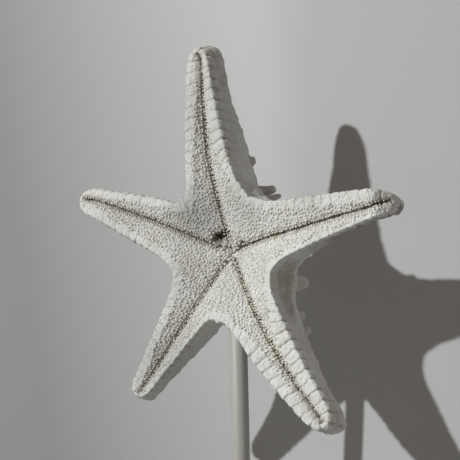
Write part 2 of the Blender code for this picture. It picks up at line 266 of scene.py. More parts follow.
# Depths over which the mouth's hollows turn dark with painted shade
HOLLOW_DARKENS = (0.0004, 0.0014)

# Slit along the middle of each furrow, and where it fades towards the tip. One side of
# some furrows lies open, and their slit and dark line lie beside the middle
SLIT_DEPTH = 0.0006
SLIT_WIDTH = 0.00040
FURROW_TIP_FADE = (0.083, 0.089)
OPEN_SIDES = (0, -1, 1, 0, 1)
OPEN_OFF = 0.0006
# Width of the dark line of dirt and painted shade along the furrows, at the mouth, how
# much wider it grows and over what distance
LINE_WIDTH = 0.0008
LINE_GROWTH = 0.0002
LINE_WIDENS = (0.0, 0.030)
# Wider stain along the furrows: width and share
FURROW_STAIN = 0.0021
STAIN_SHARE = 1.6

# Granules: how many places are tried for each size, spacing, radius and height, and
# how many sides and rings they have
GRANULE_SIZES = (
    (30000, 0.00136, 0.00070, 0.00076, 8, 6),
    (30000, 0.00112, 0.00057, 0.00062, 8, 6),
    (36000, 0.00088, 0.00044, 0.00046, 6, 4),
)
GRANULE_WIDTHS = (0.85, 1.15)
GRANULE_HEIGHTS = (0.7, 1.25)
GRANULE_SEED = 5
GRANULE_SINK = 0.00010
GRANULES_OFF_FURROW = 0.0021
GRANULES_OFF_HOLLOWS = 0.0005
# How far the granules reach on to the plates, how ragged that line is, and how dark the
# skin is between them, with dirt and painted shade
GRANULES_OVERLAP = 0.0004
GRANULES_RAGGED = 0.0009
GROUND_DIRT_AND_SHADE = 0.32
# Height below which a repeated half sphere is cut off
HALF_SPHERE_CUT = -0.1

# Rows of small spines along each furrow: distance from its middle, spacing, and half
# of a spine's length, width and thickness. The first is left out on an open side
FURROW_SPINE_ROWS = (
    (0.00058, 0.00128, 0.00044, 0.00056, 0.00046),
    (0.00150, 0.00134, 0.00052, 0.00056, 0.00052),
)
FURROW_SPINES_SPAN = (0.0060, 0.0880)
# Steps along an arm among which the places of spines are found: first, last, count
FURROW_STEPS = (0.999, 0.02, 3000)
# How far spines stray along the furrow, as a share of their spacing, and across it,
# how far their tips rise, as a share of their length, and how their sizes vary
SPINE_STRAY = 0.3
SPINE_STRAY_ACROSS = 0.00022
SPINE_RISE = 0.3
SPINE_SIZES = (0.6, 1.3)
SPINE_SIDES = 6
SPINE_RINGS = 4
SPINE_SEED = 3

# Spines round the mouth: how far out their feet are, how far they reach inwards and
# stand out, and their radius
JAW_SPINES = 15
JAW_FEET = (0.0020, 0.0068)
JAW_SPREAD = 0.55
JAW_REACHES = (0.00126, 0.00198)
JAW_LIFTS = (0.0006, 0.00168)
JAW_SPINE_RADIUS = 0.00050
# Beads of the rosette round the mouth: count, x and z from the centre, half of its
# width and height, how far the beads stand out and their radius
ROSETTE = (46, -0.0012, 0.0026, 0.0021, 0.0066)
BEAD_LIFTS = (0.00102, 0.00221)
BEAD_FORWARD = 1.6
BEAD_RADIUS = 0.00062
MOUTH_SPINE_WIDTHS = (0.8, 1.25)
MOUTH_SPINE_STRETCH = 1.1
PROBE_START = -0.1
FORWARD = (0.0, -1.0, 0.0)
HALF_TURN = 180
# Normals nearer to upright than this get their spin from another axis
NEARLY_UPRIGHT = 0.9

# Knobs on the back: step, place round the section, radius and height
RIDGE_KNOBS = (
    (0.820, 2.97, 0.0046, 0.0054),
    (0.705, 2.97, 0.0041, 0.0046),
    (0.605, 2.97, 0.0036, 0.0039),
    (0.500, 2.97, 0.0031, 0.0032),
    (0.370, 2.97, 0.0027, 0.0026),
)
FLANK_KNOBS = (
    (0.805, 2.48, 0.0034, 0.0036),
    (0.720, 2.50, 0.0031, 0.0030),
    (0.620, 2.48, 0.0028, 0.0024),
)
# Flanks with knobs of their own, by arm and side
OWN_FLANK_KNOBS = {
    ("top", 1): (
        (0.970, 2.40, 0.0046, 0.0076),
        *FLANK_KNOBS,
    ),
    ("upper_left", -1): (
        (0.930, 2.44, 0.0042, 0.0068),
        *FLANK_KNOBS,
    ),
    ("top", -1): (
        (0.655, 2.46, 0.0026, 0.0024),
        (0.840, 2.50, 0.0030, 0.0094),
        (0.925, 2.46, 0.0019, 0.0094),
    ),
    ("lower_right", 1): (
        (0.950, 2.45, 0.0042, 0.0080),
        (0.700, 2.50, 0.0026, 0.0026),
        (0.600, 2.48, 0.0024, 0.0022),
    ),
    ("lower_left", 1): (),
    ("upper_right", -1): (),
    ("upper_right", 1): (
        (0.950, 2.48, 0.0052, 0.0046),
        (0.805, 2.48, 0.0030, 0.0028),
    ),
}
KNOB_VARIATION = (0.8, 1.1)
KNOB_SEED = 7
KNOB_PROBE = 0.01
# Outline of a knob: share of its radius and share of its height
KNOB_PROFILE = (
    (1.50, -0.34), (1.22, -0.08), (1.02, 0.08), (0.86, 0.28), (0.76, 0.50),
    (0.70, 0.70), (0.62, 0.86), (0.44, 0.96), (0.22, 1.0), (0.0, 1.0),
)
KNOB_SEGMENTS = 14
KNOB_WELD = 0.001
KNOB_LUMPS = 0.00035
KNOB_LUMP_SIZE = 0.0030
KNOB_LUMP_SHIFTS = (0.1, 0.2, 0.4)

# Rod, and its hole in the skin: a little wider and to the left, from below the skin to
# just above the rod
ROD_RADIUS = 0.004
ROD_SEGMENTS = 72
ROD_EASE = 0.0004
SHARP_ANGLE = math.radians(40)
HOLE_RADIUS = 0.0050
HOLE_ASIDE = 0.0009
HOLE_BOTTOM = BODY_Z - 0.048
HOLE_PAST_ROD = 0.0003
HOLE_SEGMENTS = 48

# Camera of the photograph
PHOTO_SIZE = 460
CAMERA_AZIMUTH = math.radians(33)
CAMERA_ELEVATION = math.radians(-9)
CAMERA_DISTANCE = 0.5
CAMERA_ROLL = math.radians(-1.2)
CENTRE_PIXEL = (220, 250)
FOCAL_PIXELS = 1125
SENSOR = 36
NEAR_LIMIT = 0.01

# Light and set. The wall leans and turns a little away from the stand
KEY_AZIMUTH = math.radians(-24.4)
KEY_ELEVATION = math.radians(22.2)
KEY_DISTANCE = 1.6
KEY_SIZE = 0.035
KEY_POWER = 20.2
KEY_COLOUR = (0.978, 0.989, 1.0)
FILL_COLOUR = (1.0, 0.925, 0.80)
FILL_STRENGTH = 0.158
WALL_PLACE = 0.0638
WALL_TURN = 0.0813
WALL_LEAN = 0.0904
WALL_SIZE = 1.6
# Where the wall's painted light and shade change: X of its dim left part and of its
# brightest part, how much that moves with height, and the soft step to its darker right
# part
WALL_PAINTED_SHADE_LEFT = (-0.125, 0.045)
WALL_PAINTED_SHADE_LEAN = 0.3
WALL_PAINTED_SHADE_STEP = (-0.024, 0.002)
FLOOR_SIZE = 1.6

# Colours
CHALK = (0.86, 0.86, 0.828)
CHALK_SHADE = (0.75, 0.745, 0.70)
# Grey of the painted shade patches, mixed into the skin and its copies
PAINTED_SHADE_COLOUR = (0.42, 0.415, 0.39)
# Colour of dirt and painted shade in hollows and at the feet of copies
DIRT_AND_SHADE_COLOUR = (0.25, 0.215, 0.16)
# Dark brown of the furrows' slits, dirt and painted shade, also painted shade of the mouth and
# two flanks
FURROW_DIRT_AND_SHADE_COLOUR = (0.12, 0.095, 0.065)
SPINE_CREAM = (0.90, 0.87, 0.77)
PAINT = (0.44, 0.435, 0.40)
PAINT_STAIN = (0.45, 0.38, 0.26)
# Wall colours with painted light and shade: brightest, dim on the left, a little darker on the
# right
WALL_COLOUR = (0.604, 0.600, 0.604)
WALL_PAINTED_SHADE_COLOUR = (0.306, 0.304, 0.307)
WALL_RIGHT_PAINTED_SHADE_COLOUR = (0.542, 0.538, 0.542)
FLOOR_COLOUR = (0.70, 0.69, 0.67)
FLOOR_BOUNCE_COLOUR = (0.44, 0.43, 0.41)

# Grain of the stony skin: scale and detail of each noise, share of its height, and the
# range of values that counts
GRAIN_NOISE = (1500, 3)
GRAIN_SHARE = 0.45
PORE_SCALE = 1100
PORE_RANGE = (0.12, 0.35)
PORE_SHARE = 0.35
ROUGH_NOISE = (620, 1)
PATCH_NOISE = (75, 4)
PATCH_RANGE = (0.38, 0.66)
SMUDGE_NOISE = (260, 3)
SMUDGE_RANGE = (0.3, 0.62, 0.35, 1.0)
CHALK_ROUGHNESS = 0.92
CHALK_SPECULAR = 0.25
# Stony finishes: light colour and the darker colour of its random patches, share of dirt and
# painted shade in hollows, depth of the grain
SKIN_FINISH = (CHALK, CHALK_SHADE, 0.45, 0.0006)
GRANULE_FINISH = (CHALK, CHALK_SHADE, 0.22, 0.0002)
SPINE_FINISH = (SPINE_CREAM, CHALK, 0.35, 0.0001)

# Paint of the stand: brush marks drawn out along Z, their tone, gloss and depth, and
# small stains
BRUSH_STRETCH = (1, 1, 0.04)
BRUSH_NOISE = (1400, 2)
BRUSH_RANGE = (0.3, 0.7)
BRUSH_TONES = (0.0, 0.10)
BRUSH_GLOSS = (0.40, 0.52)
BRUSH_STRENGTH = 0.15
BRUSH_DEPTH = 0.0001
STAIN_NOISE = (170, 2)
STAIN_RANGE = (0.70, 0.76)
PAINT_STAIN_SHARE = 0.6

# Sockets of a Mix node that mixes colours: share, first and second, and its result
MIX_SOCKETS = (0, 6, 7)
MIX_RESULT = 2

# Wall and floor
SET_ROUGHNESS = 0.95
SET_SPECULAR = 0.1


def half_width(x):
    """Half width of the regular arm without its fillet and its tip."""
    along = (x - CROTCH_X) / (ARM_REACH - CROTCH_X)
    return ARM_HALF_WIDTH_ROOT + (ARM_HALF_WIDTH_TIP - ARM_HALF_WIDTH_ROOT) * along


def edge_curve():
    """Edge of half a regular arm, tip to crotch: x and y of its points, and the share
    of its length reached at each."""
    turn = np.linspace(0, math.pi / 2, EDGE_STEPS)
    x = CROTCH_X + (ARM_REACH - CROTCH_X) * np.cos(turn)
    fillet = CROTCH_RADIUS * math.sin(HALF_SECTOR) - ARM_HALF_WIDTH_ROOT
    slope = (ARM_HALF_WIDTH_ROOT - ARM_HALF_WIDTH_TIP) / (ARM_REACH - CROTCH_X)
    fade = fillet / (1 / math.tan(HALF_SECTOR) - slope)
    width = half_width(x) + fillet * np.exp(-(x - CROTCH_X) / fade)
    cap = np.clip((x - (ARM_REACH - TIP_CAP)) / TIP_CAP, 0, 1)
    y = width * (1 - cap**TIP_BLUNTNESS) ** (1 / TIP_BLUNTNESS)
    share = np.concatenate(([0], np.cumsum(np.hypot(np.diff(x), np.diff(y)))))
    return x, y, share / share[-1]


def rib_at(arm, side, step):
    """The rib of the regular arm at each step, from the arm's axis out to the edge."""
    edge_x, edge_y, share = edge_curve()
    reached = (step - PLATE_SHRINK * step**3) / (1 - PLATE_SHRINK)
    rib = SimpleNamespace()
    rib.x = np.interp(reached, share, edge_x)
    rib.y = np.interp(reached, share, edge_y)
    fan = TIP_CAP / 2 * np.clip((rib.x - (ARM_REACH - TIP_CAP)) / TIP_CAP, 0, 1) ** 2
    rib.gather = np.clip((step - GATHER_START) / (1 - GATHER_START), 0, 1) ** GATHER_CURVE
    rib.spine = (rib.x - fan) * (1 - rib.gather)
    rib.length = np.hypot(rib.x - rib.spine, rib.y)
    own = np.array(CROTCHES)[np.where(side > 0, arm, (arm - 1) % ARM_COUNT), 2]
    grown = smooth(step, 0, EDGE_ROUNDING_GROWN)
    rounding = EDGE_ROUNDING_AT_TIP + (own - EDGE_ROUNDING_AT_TIP) * grown
    rib.rounding = np.minimum(rounding, EDGE_ROUNDING_SHARE * rib.length)
    rib.flat = rib.length - rib.rounding
    span = FURROW_HALF_WIDTH * rib.length / np.maximum(rib.y, TINY)
    rib.span = np.minimum(span, FURROW_SHARE * rib.flat)
    thin = 1 - EDGE_DEPTH_AT_TIP
    rib.depth = EDGE_DEPTH * (1 - thin + thin * np.clip(step / EDGE_DEPTH_STRETCH, 0, 1))
    return rib


def regular_form(arm, side, step, ring):
    """Point of the regular arm that lies along +X: x, y, height towards the viewer,
    and how far it lies inside the start of the rounded edge."""
    rib = rib_at(arm, side, step)
    ridge = np.interp(rib.spine, RIDGE_PLACES, RIDGE_HEIGHTS)
    valley = np.interp(rib.spine, VALLEY_PLACES, VALLEY_DEPTHS)
    curve = np.interp(rib.spine, VALLEY_PLACES, VALLEY_CURVES)

    # Underside, from the furrow to the start of the rounded edge
    oral = np.clip(ring, 0, 1)
    beyond = (oral - FURROW_COLUMN) / (1 - FURROW_COLUMN)
    outer = rib.span + (rib.flat - rib.span) * beyond
    across = np.where(oral < FURROW_COLUMN, rib.span * oral / FURROW_COLUMN, outer)
    height = -valley * np.maximum(1 - across / rib.flat, 0) ** curve

    # Rounded edge
    edge = (ring > 1) & (ring <= 2)
    sweep = np.clip(ring - 1, 0, 1) * math.pi / 2
    power = 2 / EDGE_SQUARENESS
    across = np.where(edge, rib.flat + rib.rounding * np.sin(sweep) ** power, across)
    height = np.where(edge, -rib.depth * (1 - np.cos(sweep) ** power), height)

    # Back, from the outermost line to the ridge
    back = ring > 2
    climb = np.clip(ring - 2, 0, 1) * math.pi / 2
    grown = (BACK_SQUARENESS_CROTCH - BACK_SQUARENESS_ARM) * rib.gather
    power = 2 / (BACK_SQUARENESS_ARM + grown)
    across = np.where(back, rib.length * np.clip(np.cos(climb), 0, 1) ** power, across)
    rise = (ridge - rib.depth) * np.sin(climb) ** power
    height = np.where(back, -rib.depth - rise, height)

    share = across / rib.length
    x = rib.spine + (rib.x - rib.spine) * share
    y = rib.y * share
    off_axis = np.clip(y / FURROW_HALF_WIDTH, 0, 1)
    furrow = FURROW_DEPTH * (1 - off_axis**2) * np.clip((ARM_REACH - x) / FURROW_END, 0, 1)
    mouth = MOUTH_DEPTH * np.exp(-((x**2 + y**2) / MOUTH_RADIUS**2))
    height = np.where(ring <= 1, height - furrow - mouth, height)
    return x, side * y, height, rib.flat - across


def furrow_shift(arm, x, y, height):
    """How far a shifted furrow takes a point of the underside across its arm: the
    whole shift at the furrow and nothing at the edges."""
    shift = np.array([row[-1] for row in ARMS])[arm]
    half = np.maximum(np.minimum(half_width(x), x * math.tan(HALF_SECTOR)), TINY)
    across = np.clip(1 - (y / half) ** 2, 0, 1)
    start, full, fade, end = np.array(SHIFT_PLACES)[arm].T
    grown = np.clip((x - start) / (full - start), 0, 1) * np.clip((end - x) / (end - fade), 0, 1)
    near = np.clip(2 + height / SHIFT_DEPTH, 0, 1)
    return shift * across * grown * near


def lie_of_arm(arm, x, y, height):
    """Turns, bends, lengthens and thickens a point of the regular arm into its own
    lie, and stands it up in the world."""
    arm = np.asarray(arm)
    width = np.array(ARM_WIDTHS)[arm, (y >= 0).astype(int)]
    y = y * (1 + (width - 1) * np.clip((x - WIDTH_START) / WIDTH_SPAN, 0, 1))
    y = y + furrow_shift(arm, x, y, height)
    distance = np.hypot(x, y)
    angle = np.arctan2(y, x)
    outer = distance / ARM_REACH
    next_arm = np.where(y >= 0, arm + 1, arm - 1) % ARM_COUNT
    gap = np.where(y >= 0, arm, (arm - 1) % ARM_COUNT)
    closeness = np.abs(angle) / HALF_SECTOR
    mix = closeness**CROTCH_FADE / 2
    regular = FIRST_DIRECTION + np.degrees(SECTOR) * np.arange(ARM_COUNT)
    table = np.array([row[1:] for row in ARMS])
    table[:, 0] -= regular
    own, other = table[arm], table[next_arm]
    turn, bend, reach, curl, lean, thickness, _, _ = (own + (other - own) * mix[..., None]).T
    crotch_share, bulge, _ = np.array(CROTCHES)[gap].T

    thicken = 1 - (1 - np.clip(distance / THICKENING_PLACE, 0, 1)) ** 2
    height = height * (1 + (thickness - 1) * thicken)
    swell = np.sin(math.pi * np.clip((-height - BULGE_START) / BULGE_SPAN, 0, 1))
    bulge = bulge * swell * (closeness * np.clip(distance / CROTCH_RADIUS, 0, 1)) ** 2
    lean = lean * np.clip((distance - LEAN_START) / (ARM_REACH - LEAN_START), 0, 1) ** 2
    lean = lean * np.clip(-height / LEAN_DEPTH, 0, 1)
    bent = np.maximum(distance - CURL_START, 0) / (ARM_REACH - CURL_START)
    curl = curl * bent**CURL_CURVE
    radius = distance * (1 + (crotch_share - 1) * 2 * mix) * (1 + (reach - 1) * outer)
    radius = radius + bulge + lean
    axis = np.radians(regular[arm] + turn + bend * outer)
    skew = -own[..., -2] * height * np.clip(outer, 0, 1) * (1 - closeness**2) ** 2
    return np.stack(
        (
            BODY_X + radius * np.cos(axis + angle) + skew * np.sin(axis),
            BODY_Y - height + curl,
            BODY_Z + radius * np.sin(axis + angle) - skew * np.cos(axis),
        ),
        axis=-1,
    )


def smooth(value, low, high):
    """Soft step from 0 at low to 1 at high."""
    share = np.clip((value - low) / (high - low), 0, 1)
    return share * share * (3 - 2 * share)


def bump(value, width):
    """Bell of height 1 round zero."""
    return np.exp(-((value / width) ** 2))


def noise_at(points, size, shift=0.0):
    """Smooth noise between about -1 and 1 over points, with features of that size."""
    return np.array([noise.noise(Vector(point / size)) for point in points + shift])


def patches(points, spots):
    """Greatest of several round bells seen from the front, each given by x and z from
    the centre, radius and height."""
    height = np.zeros(len(points))
    for x, z, radius, most in spots:
        away = np.hypot(points[:, 0] - BODY_X - x, points[:, 2] - BODY_Z - z)
        height = np.maximum(height, bump(away, radius) * most)
    return height


def mesh_of(name, cage):
    """Mesh made from a finished bmesh."""
    mesh = bpy.data.meshes.new(name)
    cage.to_mesh(mesh)
    cage.free()
    return mesh


def template_of(cage):
    """Points and faces of a finished bmesh that is going to be repeated."""
    cage.verts.ensure_lookup_table()
    cage.verts.index_update()
    points = np.array([vert.co[:] for vert in cage.verts])
    faces = [[vert.index for vert in face.verts] for face in cage.faces]
    cage.free()
    return points, faces


def column_places():
    """Places of the skin's columns round the section."""
    furrow = np.linspace(0, FURROW_COLUMN, FURROW_COLUMNS, endpoint=False)
    underside = np.linspace(FURROW_COLUMN, 1, UNDERSIDE_COLUMNS, endpoint=False)
    edge = np.linspace(1, 2, EDGE_COLUMNS, endpoint=False)
    back = np.linspace(2, 3, BACK_COLUMNS + 1)
    return np.concatenate((furrow, underside, edge, back))


def row_steps():
    """Places of the skin's rows along half an arm, tip to crotch."""
    rows = np.arange(ROWS_PER_HALF + 1)
    per_plate = len(ROW_PLACES)
    return (rows // per_plate + np.array(ROW_PLACES)[rows % per_plate]) / PLATE_COUNT


def plate_reach(data):
    """How far the edge plates reach inwards at each point."""
    own = np.array(PLATE_REACHES)[data.arm, (data.side + 1) // 2]
    return own + (CROTCH_REACH - own) * smooth(data.step, *PLATES_FADE)


def plate_draws(data, plate):
    """Random rise, spread and tilt of the plate that each point lies on."""
    chance = np.random.RandomState(SKIN_SEED)
    which = (data.arm, (data.side + 1) // 2, np.clip(plate, 0, PLATES_DRAWN - 1))
    ranges = (PLATE_RISES, PLATE_SPREADS, PLATE_TILTS)
    return [chance.uniform(*limits, (ARM_COUNT, 2, PLATES_DRAWN))[which] for limits in ranges]


def plate_relief(data, points):
    """Height of the edge plates and how deep a point lies in a seam between them."""
    count = PLATE_COUNT * data.step + SEAM_WANDER * noise_at(points, SEAM_WANDER_SIZE)
    plate = np.floor(count + 0.5).astype(int)
    rise, spread, tilt = plate_draws(data, plate)
    pitch = PLATE_PITCH * (1 - 3 * PLATE_SHRINK * data.step**2) / (1 - PLATE_SHRINK)
    from_seam = (0.5 - np.abs(count - plate)) * pitch
    own = np.array(PLATE_STRENGTH)[data.arm, (data.side + 1) // 2]
    strength = own + (CROTCH_STRENGTH - own) * smooth(data.step, *PLATES_FADE)
    near_tip = 1 - smooth(data.step, *UPPER_PLATES_STEPS)
    reach = plate_reach(data) + spread
    lower = smooth(-data.inside, -reach - PLATE_STEP, -reach)
    lower = lower * (1 - smooth(data.ring, *LOWER_PLATES_END)) * strength
    upper = smooth(data.ring, *UPPER_PLATES_START) * (1 - smooth(data.ring, *UPPER_PLATES_END))
    upper = upper * strength * near_tip
    narrow, wide = SEAM_WIDTHS
    seam = bump(from_seam, narrow + (wide - narrow) * smooth(data.ring, *SEAM_WIDENING))
    tilted = rise * (1 - tilt * (count - plate))
    plates = (lower + UPPER_PLATES_SHARE * upper) * tilted * (1 - seam)
    ring, width = PIT_RING
    pit = PIT_DEPTH * bump(from_seam, PIT_WIDTH) * bump(data.ring - ring, width) * strength
    ring, width = PLATE_LINE
    line = bump(data.ring - ring, width) * strength * near_tip
    dirt_and_shade = np.maximum(seam * np.maximum(lower, upper), line)
    return PLATE_HEIGHT * plates - pit, dirt_and_shade


def flank_relief(data, points):
    """Streaks, grooves and swellings of the flanks and the back, and how much darker the
    grooves are."""
    back = smooth(data.ring, *FLANK_RINGS)
    along, around = STREAK_STRETCH
    arm_shift, side_shift = STREAK_SHIFTS
    across = data.arm * arm_shift + data.side * side_shift + data.ring / around
    streak = np.stack((data.x / along, across, np.zeros(len(points))), axis=1)
    off_groove = np.abs(noise_at(points, *GROOVE_NOISE))
    streaks = STREAK_HEIGHT * noise_at(streak, 1) * (1 - smooth(data.ring, *STREAKS_END))
    grooves = GROOVE_DEPTH * smooth(data.ring, *GROOVES_START) * (off_groove - GROOVE_LEVEL)
    swellings = SWELLING_HEIGHT * noise_at(points, *SWELLING_NOISE)
    darkening = back * (1 - smooth(off_groove, *GROOVE_WIDTHS)) * GROOVE_DARKENING
    return (streaks + grooves + swellings) * back, darkening


def ledge_share(data):
    """Where the thin ledges run along the flanks."""
    share = np.zeros(len(data.step))
    for arm, side, start in LEDGES:
        here = (data.arm == arm) & (data.side == side)
        share = np.maximum(share, here * smooth(data.step, start, start + LEDGE_GROWN))
    return share


def flank_shade(data):
    """Painted shade of the skin below the ledges, and beside one arm's edge."""
    band = smooth(data.ring, *LEDGE_BAND_START) * (1 - smooth(data.ring, *LEDGE_BAND_END))
    arm, side = STRIP_FLANK
    here = (data.arm == arm) & (data.side == side)
    strip = here * smooth(data.ring, *STRIP_START) * (1 - smooth(data.ring, *STRIP_END))
    strip = strip * (1 - smooth(data.step, *STRIP_FADE))
    return np.maximum(LEDGE_SHADE * band * ledge_share(data), STRIP_SHADE * strip)


def off_furrow(data):
    """How far each point lies off the open line of its furrow."""
    return np.abs(data.y - OPEN_OFF * np.array(OPEN_SIDES)[data.arm])


def furrow_dirt_and_shade(data, points):
    """How dark the furrows, the mouth and some flanks are: grime and painted shade along the
    furrows' slits, and painted shade in the mouth's hollows and on two flanks.
    """
    underside = data.ring < 1
    width = LINE_WIDTH + LINE_GROWTH * smooth(data.x, *LINE_WIDENS)
    # Painted shade in the hollows beside the mouth and round the mouth
    hollows = smooth(patches(points, MOUTH_HOLLOWS) * underside, *HOLLOW_DARKENS)
    line = np.maximum(bump(off_furrow(data), width), patches(points, MOUTH_SHADE))
    return np.maximum(np.maximum(line * underside, hollows), flank_shade(data))


def ground_dirt_and_shade(data):
    """How dark the underside is between its granules, with grime and painted shade, and how
    stained it is beside the furrows.
    """
    ground = GROUND_DIRT_AND_SHADE * smooth(data.inside - plate_reach(data), -PLATE_STEP, 0)
    stain = STAIN_SHARE * bump(off_furrow(data), FURROW_STAIN)
    return np.maximum(ground, stain) * (data.ring < 1)


def skin_relief(data, points):
    """Fine relief along the normals of the skin, and how dark it is in its hollows, in the
    furrows and on some flanks, with grime and painted shade."""
    plates, seams = plate_relief(data, points)
    flank, grooves = flank_relief(data, points)
    ledges = LEDGE_HEIGHT * bump(data.ring - LEDGE_RING, LEDGE_WIDTH) * ledge_share(data)
    off = off_furrow(data)
    slit = SLIT_DEPTH * bump(off, SLIT_WIDTH) * (1 - smooth(data.x, *FURROW_TIP_FADE))
    sunken = (slit + patches(points, MOUTH_HOLLOWS)) * (data.ring < 1)
    lumps = noise_at(points, *LUMP_NOISE) + BROAD_LUMP_SHARE * noise_at(points, *BROAD_LUMP_NOISE)
    lumps = LUMP_HEIGHT * lumps * smooth(off, *LUMPS_OFF_FURROW)
    dirt_and_shade = np.maximum(np.maximum(seams, grooves), ground_dirt_and_shade(data))
    return plates - sunken + flank + ledges + lumps, dirt_and_shade, furrow_dirt_and_shade(data, points)


def skin_cage():
    """One grid wrapped round all ten half arms, and what each of its points is: arm,
    side, step, ring, place in the regular arm and distance inside the edge."""
    rings, steps = column_places(), row_steps()
    rows = 2 * ARM_COUNT * ROWS_PER_HALF
    cage = bmesh.new()
    bmesh.ops.create_grid(cage, x_segments=rows, y_segments=len(rings) - 1, size=1)
    flat = (np.array([vert.co[:2] for vert in cage.verts]) + 1) / 2
    row = np.rint(flat[:, 0] * rows).astype(int)
    ring = rings[np.rint(flat[:, 1] * (len(rings) - 1)).astype(int)]
    arm = np.minimum(row // (2 * ROWS_PER_HALF), ARM_COUNT - 1)
    past_tip = row - arm * 2 * ROWS_PER_HALF - ROWS_PER_HALF
    side = np.where(past_tip < 0, -1, 1)
    step = steps[np.abs(past_tip)]
    x, y, height, inside = regular_form(arm, side, step, ring)
    number = cage.verts.layers.int.new("number")
    for index, (vert, place) in enumerate(zip(cage.verts, lie_of_arm(arm, x, y, height))):
        vert.co = place
        vert[number] = index
    bmesh.ops.remove_doubles(cage, verts=cage.verts, dist=WELD)
    bmesh.ops.dissolve_degenerate(cage, edges=cage.edges, dist=WELD)
    bmesh.ops.recalc_face_normals(cage, faces=cage.faces)
    cage.verts.ensure_lookup_table()
    kept = np.array([vert[number] for vert in cage.verts])
    data = SimpleNamespace(
        arm=arm[kept], side=side[kept], step=step[kept], ring=ring[kept],
        x=x[kept], y=y[kept], inside=inside[kept],
    )
    return cage, data


def starfish_skin():
    """Fine skin of the starfish with its masks, and what each of its points is."""
    cage, data = skin_cage()
    points = np.array([vert.co[:] for vert in cage.verts])
    normals = np.array([vert.normal[:] for vert in cage.verts])
    relief, dirt_and_shade, furrow = skin_relief(data, points)
    points = points + normals * relief[:, None]
    # Masks: dirt and painted shade in hollows, the furrows' dirt and painted shade, painted shade
    # patches
    masks = [cage.verts.layers.float.new(name) for name in ("dirt_and_shade", "furrow", "painted_shade")]
    darkening = zip(dirt_and_shade, furrow, patches(points, PAINTED_SHADE_PATCHES))
    for vert, place, values in zip(cage.verts, points, darkening):
        vert.co = place
        for mask, value in zip(masks, values):
            vert[mask] = value
    cage.verts.layers.int.remove(cage.verts.layers.int["number"])
    return mesh_of("starfish_skin", cage), data


def cut_rod_hole(piece):
    """Cuts the hole for the rod into the skin."""
    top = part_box("rod")[1][2] + HOLE_PAST_ROD
    middle = (top + HOLE_BOTTOM) / 2
    cage = bmesh.new()
    bmesh.ops.create_cone(
        cage, cap_ends=True, segments=HOLE_SEGMENTS, radius1=HOLE_RADIUS, radius2=HOLE_RADIUS,
        depth=top - HOLE_BOTTOM, matrix=Matrix.Translation((-HOLE_ASIDE, 0, middle)),
    )
    cutter = bpy.data.objects.new("rod_hole", mesh_of("rod_hole", cage))
    bpy.context.scene.collection.objects.link(cutter)
    cut = piece.modifiers.new("rod hole", "BOOLEAN")
    cut.object = cutter
    cut.operation = "DIFFERENCE"
    cut.solver = "EXACT"
    depsgraph = bpy.context.evaluated_depsgraph_get()
    done = bpy.data.meshes.new_from_object(piece.evaluated_get(depsgraph))
    piece.modifiers.clear()
    piece.data = done
    bpy.data.objects.remove(cutter)


def new_piece(name, mesh, finish):
    """Object at the origin from a mesh that already lies in its place."""
    piece = bpy.data.objects.new(name, mesh)
    bpy.context.scene.collection.objects.link(piece)
    mesh.materials.clear()
    mesh.materials.append(finish)
    mesh.shade_smooth()
    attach(piece, "root")
    return piece


def sphere_template(sides, rings, upper_half=False):
    """Points and faces of a small plain sphere, or of its upper half."""
    cage = bmesh.new()
    bmesh.ops.create_uvsphere(cage, u_segments=sides, v_segments=rings, radius=1)
    if upper_half:
        below = [vert for vert in cage.verts if vert.co.z < HALF_SPHERE_CUT]
        bmesh.ops.delete(cage, geom=below, context="VERTS")
    return template_of(cage)


def tiled(name, template, places, turns, scales):
    """One mesh of many copies of a template, each turned, scaled and placed, with masks of
    how low a point lies on its copy, for grime and painted shade at its foot, and of painted
    shade patches on the skin there."""
    points, faces = template
    copies = np.einsum("nij,nj,pj->npi", turns, scales, points) + places[:, None, :]
    count = len(points)
    starts = range(0, count * len(places), count)
    all_faces = [[start + index for index in face] for start in starts for face in faces]
    mesh = bpy.data.meshes.new(name)
    mesh.from_pydata(copies.reshape(-1, 3), [], all_faces)
    # Low on each copy, its foot darkens with dirt and painted shade where it meets the skin
    top = np.tile(np.clip(points[:, 2], 0, 1), len(places))
    # Painted shade patches of the skin under each copy
    painted_shade = np.repeat(patches(places, PAINTED_SHADE_PATCHES), count)
    for label, values in (("dirt_and_shade", 1 - top), ("painted_shade", painted_shade)):
        mesh.attributes.new(label, "FLOAT", "POINT").data.foreach_set("value", values)
    return mesh


def turns_towards(normals, chance):
    """Rotation matrices that stand +Z on each normal, with a random spin."""
    spin = chance.uniform(0, 2 * math.pi, len(normals))
    upright = np.abs(normals[:, 2:3]) > NEARLY_UPRIGHT
    helper = np.where(upright, (1.0, 0.0, 0.0), (0.0, 0.0, 1.0))
    first = np.cross(helper, normals)
    first /= np.linalg.norm(first, axis=1, keepdims=True)
    second = np.cross(normals, first)
    cos, sin = np.cos(spin)[:, None], np.sin(spin)[:, None]
    return np.stack((first * cos + second * sin, second * cos - first * sin, normals), axis=2)


